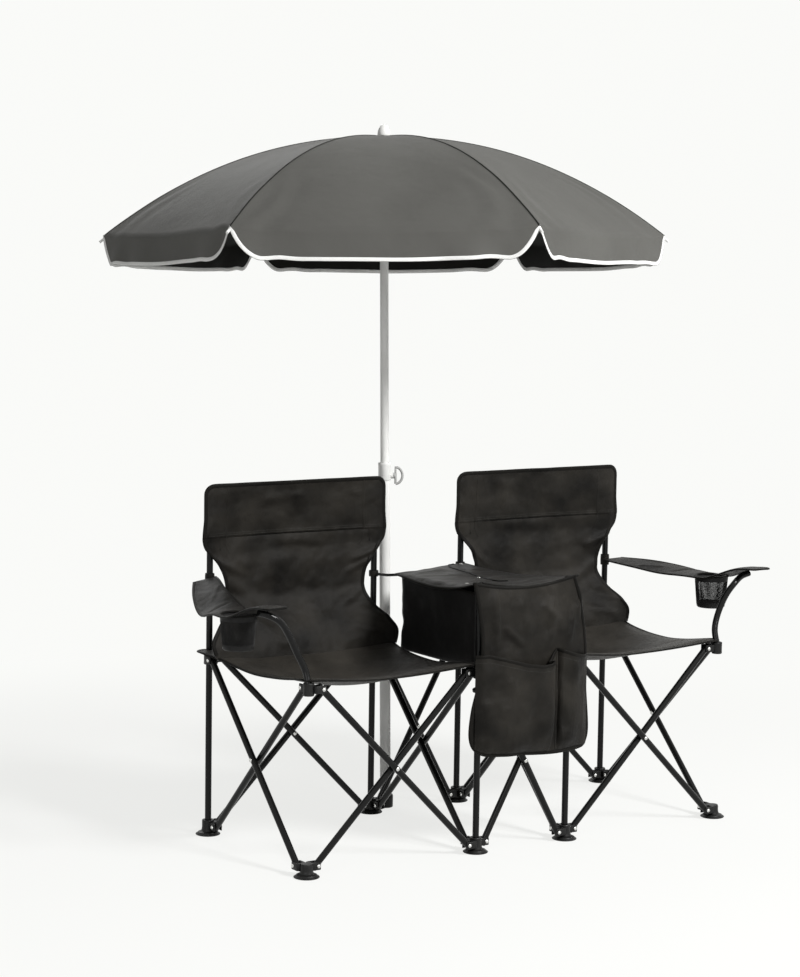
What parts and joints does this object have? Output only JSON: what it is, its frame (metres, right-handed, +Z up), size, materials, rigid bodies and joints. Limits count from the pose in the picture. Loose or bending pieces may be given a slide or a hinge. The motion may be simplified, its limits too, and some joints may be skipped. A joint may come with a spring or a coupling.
{
  "type": "folding double camping chair with umbrella",
  "caption": "Folding double camping chair: sling seats on a crossed-tube frame, with a table, cooler bag, organizer, cup pockets and a telescopic, folding sun umbrella.",
  "frame": {"origin": "on the ground under the foot of the left chair's inner rear post, on that post's axis", "axes": "+Z up, +X towards the right chair as seen from the front, -Y the way the sitters face"},
  "size_m": [1.5272, 1.4753, 1.7794],
  "materials": {
    "black_tube": "gloss",
    "black_moulding": "satin",
    "white_pole": "satin",
    "grey_plastic": "satin",
    "white_ribs": "satin",
    "canopy_cloth": "matte",
    "black_lining": "matte",
    "black_oxford": "matte"
  },
  "bodies": {
    "frame": {"left_inner_rear_post": "black_tube", "lower_pole": "white_pole"},
    "left_rear_tube_a": {"left_rear_tube_a": "black_tube"},
    "left_rear_tube_b": {"left_rear_tube_b": "black_tube"},
    "left_outer_rear_post": {"left_outer_rear_post": "black_tube", "left_sling": "black_oxford", "left_arm_rest": "black_oxford"},
    "left_outer_rear_hub": {"left_outer_rear_hub": "black_moulding"},
    "left_inner_rear_hub": {"left_inner_rear_hub": "black_moulding"},
    "middle_rear_tube_a": {"middle_rear_tube_a": "black_tube"},
    "middle_rear_tube_b": {"middle_rear_tube_b": "black_tube"},
    "right_inner_rear_post": {"right_inner_rear_post": "black_tube", "table_top": "black_oxford", "cooler_bag": "black_lining"},
    "right_rear_tube_a": {"right_rear_tube_a": "black_tube"},
    "right_rear_tube_b": {"right_rear_tube_b": "black_tube"},
    "right_outer_rear_post": {"right_outer_rear_post": "black_tube", "right_sling": "black_oxford", "right_arm_rest": "black_oxford"},
    "right_outer_rear_hub": {"right_outer_rear_hub": "black_moulding"},
    "right_inner_rear_hub": {"right_inner_rear_hub": "black_moulding"},
    "left_outer_side_tube_a": {"left_outer_side_tube_a": "black_tube"},
    "left_outer_side_tube_b": {"left_outer_side_tube_b": "black_tube"},
    "left_outer_front_foot": {"left_outer_front_foot": "black_moulding"},
    "left_outer_front_hub": {"left_outer_front_hub": "black_moulding"},
    "left_inner_side_tube_a": {"left_inner_side_tube_a": "black_tube"},
    "left_inner_side_tube_b": {"left_inner_side_tube_b": "black_tube"},
    "left_inner_front_post": {"left_inner_front_post": "black_tube", "organizer": "black_oxford"},
    "left_inner_front_hub": {"left_inner_front_hub": "black_moulding"},
    "right_inner_side_tube_a": {"right_inner_side_tube_a": "black_tube"},
    "right_inner_side_tube_b": {"right_inner_side_tube_b": "black_tube"},
    "right_inner_front_post": {"right_inner_front_post": "black_tube"},
    "right_inner_front_hub": {"right_inner_front_hub": "black_moulding"},
    "right_outer_side_tube_a": {"right_outer_side_tube_a": "black_tube"},
    "right_outer_side_tube_b": {"right_outer_side_tube_b": "black_tube"},
    "right_outer_front_foot": {"right_outer_front_foot": "black_moulding"},
    "right_outer_front_hub": {"right_outer_front_hub": "black_moulding"},
    "left_front_tube_a": {"left_front_tube_a": "black_tube"},
    "left_front_tube_b": {"left_front_tube_b": "black_tube"},
    "middle_front_tube_a": {"middle_front_tube_a": "black_tube"},
    "middle_front_tube_b": {"middle_front_tube_b": "black_tube"},
    "right_front_tube_a": {"right_front_tube_a": "black_tube"},
    "right_front_tube_b": {"right_front_tube_b": "black_tube"},
    "clamp_knob": {"clamp_knob": "grey_plastic"},
    "upper_pole": {"upper_pole": "white_pole", "canopy": "canopy_cloth"},
    "rib_1": {"rib_1": "white_ribs"},
    "stretcher_1": {"stretcher_1": "white_ribs"},
    "runner": {"runner": "grey_plastic"},
    "rib_2": {"rib_2": "white_ribs"},
    "stretcher_2": {"stretcher_2": "white_ribs"},
    "rib_3": {"rib_3": "white_ribs"},
    "stretcher_3": {"stretcher_3": "white_ribs"},
    "rib_4": {"rib_4": "white_ribs"},
    "stretcher_4": {"stretcher_4": "white_ribs"},
    "rib_5": {"rib_5": "white_ribs"},
    "stretcher_5": {"stretcher_5": "white_ribs"},
    "rib_6": {"rib_6": "white_ribs"},
    "stretcher_6": {"stretcher_6": "white_ribs"}
  },
  "joints": [
    {"name": "fold", "type": "hinge", "parent": "frame", "child": "left_rear_tube_a", "pos_m": [-0.03, 0, 0.024], "axis": [0, 1, 0], "range_deg": [0, 42], "deforming": ["left_sling", "right_sling", "left_arm_rest", "right_arm_rest", "table_top", "cooler_bag", "organizer"]},
    {"name": "left_rear_middle_rivet", "type": "hinge", "parent": "left_rear_tube_a", "child": "left_rear_tube_b", "pos_m": [-0.24, 0, 0.235], "axis": [0, 1, 0], "range_deg": [-84, 0]},
    {"name": "left_outer_rear_post_rivet", "type": "hinge", "parent": "left_rear_tube_b", "child": "left_outer_rear_post", "pos_m": [-0.45, 0, 0.024], "axis": [0, 1, 0], "range_deg": [0, 42]},
    {"name": "left_outer_rear_hub_rivet", "type": "hinge", "parent": "left_rear_tube_a", "child": "left_outer_rear_hub", "pos_m": [-0.45, 0, 0.446], "axis": [0, 1, 0], "range_deg": [-42, 0]},
    {"name": "left_inner_rear_hub_rivet", "type": "hinge", "parent": "left_rear_tube_b", "child": "left_inner_rear_hub", "pos_m": [-0.03, 0, 0.446], "axis": [0, 1, 0], "range_deg": [0, 42]},
    {"name": "middle_rear_tube_a_foot_rivet", "type": "hinge", "parent": "frame", "child": "middle_rear_tube_a", "pos_m": [0.03, 0, 0.024], "axis": [0, -1, 0], "range_deg": [0, 20.79]},
    {"name": "middle_rear_middle_rivet", "type": "hinge", "parent": "middle_rear_tube_a", "child": "middle_rear_tube_b", "pos_m": [0.135, 0, 0.216], "axis": [0, -1, 0], "range_deg": [-41.59, 0]},
    {"name": "right_inner_rear_post_rivet", "type": "hinge", "parent": "middle_rear_tube_b", "child": "right_inner_rear_post", "pos_m": [0.24, 0, 0.024], "axis": [0, -1, 0], "range_deg": [0, 20.79]},
    {"name": "right_rear_tube_a_foot_rivet", "type": "hinge", "parent": "right_inner_rear_post", "child": "right_rear_tube_a", "pos_m": [0.3, 0, 0.024], "axis": [0, -1, 0], "range_deg": [0, 42]},
    {"name": "right_rear_middle_rivet", "type": "hinge", "parent": "right_rear_tube_a", "child": "right_rear_tube_b", "pos_m": [0.51, 0, 0.235], "axis": [0, -1, 0], "range_deg": [-84, 0]},
    {"name": "right_outer_rear_post_rivet", "type": "hinge", "parent": "right_rear_tube_b", "child": "right_outer_rear_post", "pos_m": [0.72, 0, 0.024], "axis": [0, -1, 0], "range_deg": [0, 42]},
    {"name": "right_outer_rear_hub_rivet", "type": "hinge", "parent": "right_rear_tube_a", "child": "right_outer_rear_hub", "pos_m": [0.72, 0, 0.446], "axis": [0, -1, 0], "range_deg": [-42, 0]},
    {"name": "right_inner_rear_hub_rivet", "type": "hinge", "parent": "right_rear_tube_b", "child": "right_inner_rear_hub", "pos_m": [0.3, 0, 0.446], "axis": [0, -1, 0], "range_deg": [0, 42]},
    {"name": "left_outer_side_tube_a_foot_rivet", "type": "hinge", "parent": "left_outer_rear_post", "child": "left_outer_side_tube_a", "pos_m": [-0.48, -0.03, 0.024], "axis": [-1, 0, 0], "range_deg": [0, 42]},
    {"name": "left_outer_side_middle_rivet", "type": "hinge", "parent": "left_outer_side_tube_a", "child": "left_outer_side_tube_b", "pos_m": [-0.48, -0.24, 0.235], "axis": [-1, 0, 0], "range_deg": [-84, 0]},
    {"name": "left_outer_front_foot_rivet", "type": "hinge", "parent": "left_outer_side_tube_b", "child": "left_outer_front_foot", "pos_m": [-0.48, -0.45, 0.024], "axis": [-1, 0, 0], "range_deg": [0, 42]},
    {"name": "left_outer_front_hub_rivet", "type": "hinge", "parent": "left_outer_side_tube_a", "child": "left_outer_front_hub", "pos_m": [-0.48, -0.45, 0.446], "axis": [-1, 0, 0], "range_deg": [-42, 0]},
    {"name": "left_inner_side_tube_a_foot_rivet", "type": "hinge", "parent": "frame", "child": "left_inner_side_tube_a", "pos_m": [0, -0.03, 0.024], "axis": [-1, 0, 0], "range_deg": [0, 42]},
    {"name": "left_inner_side_middle_rivet", "type": "hinge", "parent": "left_inner_side_tube_a", "child": "left_inner_side_tube_b", "pos_m": [0, -0.24, 0.235], "axis": [-1, 0, 0], "range_deg": [-84, 0]},
    {"name": "left_inner_front_post_rivet", "type": "hinge", "parent": "left_inner_side_tube_b", "child": "left_inner_front_post", "pos_m": [0, -0.45, 0.024], "axis": [-1, 0, 0], "range_deg": [0, 42]},
    {"name": "left_inner_front_hub_rivet", "type": "hinge", "parent": "left_inner_side_tube_a", "child": "left_inner_front_hub", "pos_m": [0, -0.45, 0.446], "axis": [-1, 0, 0], "range_deg": [-42, 0]},
    {"name": "right_inner_side_tube_a_foot_rivet", "type": "hinge", "parent": "right_inner_rear_post", "child": "right_inner_side_tube_a", "pos_m": [0.27, -0.03, 0.024], "axis": [-1, 0, 0], "range_deg": [0, 42]},
    {"name": "right_inner_side_middle_rivet", "type": "hinge", "parent": "right_inner_side_tube_a", "child": "right_inner_side_tube_b", "pos_m": [0.27, -0.24, 0.235], "axis": [-1, 0, 0], "range_deg": [-84, 0]},
    {"name": "right_inner_front_post_rivet", "type": "hinge", "parent": "right_inner_side_tube_b", "child": "right_inner_front_post", "pos_m": [0.27, -0.45, 0.024], "axis": [-1, 0, 0], "range_deg": [0, 42]},
    {"name": "right_inner_front_hub_rivet", "type": "hinge", "parent": "right_inner_side_tube_a", "child": "right_inner_front_hub", "pos_m": [0.27, -0.45, 0.446], "axis": [-1, 0, 0], "range_deg": [-42, 0]},
    {"name": "right_outer_side_tube_a_foot_rivet", "type": "hinge", "parent": "right_outer_rear_post", "child": "right_outer_side_tube_a", "pos_m": [0.75, -0.03, 0.024], "axis": [-1, 0, 0], "range_deg": [0, 42]},
    {"name": "right_outer_side_middle_rivet", "type": "hinge", "parent": "right_outer_side_tube_a", "child": "right_outer_side_tube_b", "pos_m": [0.75, -0.24, 0.235], "axis": [-1, 0, 0], "range_deg": [-84, 0]},
    {"name": "right_outer_front_foot_rivet", "type": "hinge", "parent": "right_outer_side_tube_b", "child": "right_outer_front_foot", "pos_m": [0.75, -0.45, 0.024], "axis": [-1, 0, 0], "range_deg": [0, 42]},
    {"name": "right_outer_front_hub_rivet", "type": "hinge", "parent": "right_outer_side_tube_a", "child": "right_outer_front_hub", "pos_m": [0.75, -0.45, 0.446], "axis": [-1, 0, 0], "range_deg": [-42, 0]},
    {"name": "left_front_tube_a_foot_rivet", "type": "hinge", "parent": "left_inner_front_post", "child": "left_front_tube_a", "pos_m": [-0.03, -0.48, 0.024], "axis": [0, 1, 0], "range_deg": [0, 42]},
    {"name": "left_front_tube_b_foot_rivet", "type": "hinge", "parent": "left_outer_front_foot", "child": "left_front_tube_b", "pos_m": [-0.45, -0.48, 0.024], "axis": [0, 1, 0], "range_deg": [-42, 0]},
    {"name": "middle_front_tube_a_foot_rivet", "type": "hinge", "parent": "left_inner_front_post", "child": "middle_front_tube_a", "pos_m": [0.03, -0.48, 0.024], "axis": [0, -1, 0], "range_deg": [0, 20.79]},
    {"name": "middle_front_tube_b_foot_rivet", "type": "hinge", "parent": "right_inner_front_post", "child": "middle_front_tube_b", "pos_m": [0.24, -0.48, 0.024], "axis": [0, -1, 0], "range_deg": [-20.79, 0]},
    {"name": "right_front_tube_a_foot_rivet", "type": "hinge", "parent": "right_inner_front_post", "child": "right_front_tube_a", "pos_m": [0.3, -0.48, 0.024], "axis": [0, -1, 0], "range_deg": [0, 42]},
    {"name": "right_front_tube_b_foot_rivet", "type": "hinge", "parent": "right_outer_front_foot", "child": "right_front_tube_b", "pos_m": [0.72, -0.48, 0.024], "axis": [0, -1, 0], "range_deg": [-42, 0]},
    {"name": "knob_turn", "type": "hinge", "parent": "frame", "child": "clamp_knob", "pos_m": [0.08911, 0.06166, 0.87147], "axis": [0.848, -0.5297, 0.0158], "range_deg": [0, 270]},
    {"name": "pole_height", "type": "slide", "parent": "frame", "child": "upper_pole", "axis": [0.0077, 0.042, 0.9991], "range_m": [-0.04, 0.2]},
    {"name": "umbrella_close", "type": "hinge", "parent": "upper_pole", "child": "rib_1", "pos_m": [0.09653, 0.09745, 1.7377], "axis": [0.5373, 0.8425, -0.0396], "range_deg": [0, 66], "deforming": ["canopy"]},
    {"name": "stretcher_1_hinge", "type": "hinge", "parent": "rib_1", "child": "stretcher_1", "pos_m": [0.41988, -0.11166, 1.67591], "axis": [0.5373, 0.8425, -0.0396], "range_deg": [-132, 0]},
    {"name": "rib_2_hinge", "type": "hinge", "parent": "upper_pole", "child": "rib_2", "pos_m": [0.09732, 0.11542, 1.73694], "axis": [-0.4617, 0.8864, -0.0338], "range_deg": [0, 66]},
    {"name": "stretcher_2_hinge", "type": "hinge", "parent": "rib_2", "child": "stretcher_2", "pos_m": [0.43742, 0.28961, 1.65889], "axis": [-0.4617, 0.8864, -0.0338], "range_deg": [-132, 0]},
    {"name": "rib_3_hinge", "type": "hinge", "parent": "upper_pole", "child": "rib_3", "pos_m": [0.08214, 0.12509, 1.73665], "axis": [-0.999, 0.0439, 0.0058], "range_deg": [0, 66]},
    {"name": "stretcher_3_hinge", "type": "hinge", "parent": "rib_3", "child": "stretcher_3", "pos_m": [0.09837, 0.50554, 1.65241], "axis": [-0.999, 0.0439, 0.0058], "range_deg": [-132, 0]},
    {"name": "rib_4_hinge", "type": "hinge", "parent": "upper_pole", "child": "rib_4", "pos_m": [0.06617, 0.11679, 1.73712], "axis": [-0.5373, -0.8425, 0.0396], "range_deg": [0, 66]},
    {"name": "stretcher_4_hinge", "type": "hinge", "parent": "rib_4", "child": "stretcher_4", "pos_m": [-0.25822, 0.32018, 1.66295], "axis": [-0.5373, -0.8425, 0.0396], "range_deg": [-132, 0]},
    {"name": "rib_5_hinge", "type": "hinge", "parent": "upper_pole", "child": "rib_5", "pos_m": [0.06539, 0.09882, 1.73788], "axis": [0.4617, -0.8864, 0.0338], "range_deg": [0, 66]},
    {"name": "stretcher_5_hinge", "type": "hinge", "parent": "rib_5", "child": "stretcher_5", "pos_m": [-0.27575, -0.08109, 1.67997], "axis": [0.4617, -0.8864, 0.0338], "range_deg": [-132, 0]},
    {"name": "rib_6_hinge", "type": "hinge", "parent": "upper_pole", "child": "rib_6", "pos_m": [0.08057, 0.08916, 1.73817], "axis": [0.999, -0.0439, -0.0058], "range_deg": [0, 66]},
    {"name": "stretcher_6_hinge", "type": "hinge", "parent": "rib_6", "child": "stretcher_6", "pos_m": [0.0633, -0.29701, 1.68645], "axis": [0.999, -0.0439, -0.0058], "range_deg": [-132, 0]},
    {"name": "runner_hinge", "type": "hinge", "parent": "stretcher_1", "child": "runner", "pos_m": [0.09549, 0.09173, 1.60174], "axis": [0.5373, 0.8425, -0.0396], "range_deg": [0, 66]}
  ],
  "couplings": [
    {"joint": "left_rear_middle_rivet", "follows": "fold", "ratio": -2},
    {"joint": "left_outer_rear_post_rivet", "follows": "fold", "ratio": 1},
    {"joint": "left_outer_rear_hub_rivet", "follows": "fold", "ratio": -1},
    {"joint": "left_inner_rear_hub_rivet", "follows": "fold", "ratio": 1},
    {"joint": "middle_rear_tube_a_foot_rivet", "follows": "fold", "ratio": 0.49509},
    {"joint": "middle_rear_middle_rivet", "follows": "fold", "ratio": -0.99018},
    {"joint": "right_inner_rear_post_rivet", "follows": "fold", "ratio": 0.49509},
    {"joint": "right_rear_tube_a_foot_rivet", "follows": "fold", "ratio": 1},
    {"joint": "right_rear_middle_rivet", "follows": "fold", "ratio": -2},
    {"joint": "right_outer_rear_post_rivet", "follows": "fold", "ratio": 1},
    {"joint": "right_outer_rear_hub_rivet", "follows": "fold", "ratio": -1},
    {"joint": "right_inner_rear_hub_rivet", "follows": "fold", "ratio": 1},
    {"joint": "left_outer_side_tube_a_foot_rivet", "follows": "fold", "ratio": 1},
    {"joint": "left_outer_side_middle_rivet", "follows": "fold", "ratio": -2},
    {"joint": "left_outer_front_foot_rivet", "follows": "fold", "ratio": 1},
    {"joint": "left_outer_front_hub_rivet", "follows": "fold", "ratio": -1},
    {"joint": "left_inner_side_tube_a_foot_rivet", "follows": "fold", "ratio": 1},
    {"joint": "left_inner_side_middle_rivet", "follows": "fold", "ratio": -2},
    {"joint": "left_inner_front_post_rivet", "follows": "fold", "ratio": 1},
    {"joint": "left_inner_front_hub_rivet", "follows": "fold", "ratio": -1},
    {"joint": "right_inner_side_tube_a_foot_rivet", "follows": "fold", "ratio": 1},
    {"joint": "right_inner_side_middle_rivet", "follows": "fold", "ratio": -2},
    {"joint": "right_inner_front_post_rivet", "follows": "fold", "ratio": 1},
    {"joint": "right_inner_front_hub_rivet", "follows": "fold", "ratio": -1},
    {"joint": "right_outer_side_tube_a_foot_rivet", "follows": "fold", "ratio": 1},
    {"joint": "right_outer_side_middle_rivet", "follows": "fold", "ratio": -2},
    {"joint": "right_outer_front_foot_rivet", "follows": "fold", "ratio": 1},
    {"joint": "right_outer_front_hub_rivet", "follows": "fold", "ratio": -1},
    {"joint": "left_front_tube_a_foot_rivet", "follows": "fold", "ratio": 1},
    {"joint": "left_front_tube_b_foot_rivet", "follows": "fold", "ratio": -1},
    {"joint": "middle_front_tube_a_foot_rivet", "follows": "fold", "ratio": 0.49509},
    {"joint": "middle_front_tube_b_foot_rivet", "follows": "fold", "ratio": -0.49509},
    {"joint": "right_front_tube_a_foot_rivet", "follows": "fold", "ratio": 1},
    {"joint": "right_front_tube_b_foot_rivet", "follows": "fold", "ratio": -1},
    {"joint": "stretcher_1_hinge", "follows": "umbrella_close", "ratio": -2},
    {"joint": "rib_2_hinge", "follows": "umbrella_close", "ratio": 1},
    {"joint": "stretcher_2_hinge", "follows": "umbrella_close", "ratio": -2},
    {"joint": "rib_3_hinge", "follows": "umbrella_close", "ratio": 1},
    {"joint": "stretcher_3_hinge", "follows": "umbrella_close", "ratio": -2},
    {"joint": "rib_4_hinge", "follows": "umbrella_close", "ratio": 1},
    {"joint": "stretcher_4_hinge", "follows": "umbrella_close", "ratio": -2},
    {"joint": "rib_5_hinge", "follows": "umbrella_close", "ratio": 1},
    {"joint": "stretcher_5_hinge", "follows": "umbrella_close", "ratio": -2},
    {"joint": "rib_6_hinge", "follows": "umbrella_close", "ratio": 1},
    {"joint": "stretcher_6_hinge", "follows": "umbrella_close", "ratio": -2},
    {"joint": "runner_hinge", "follows": "umbrella_close", "ratio": 1}
  ]
}
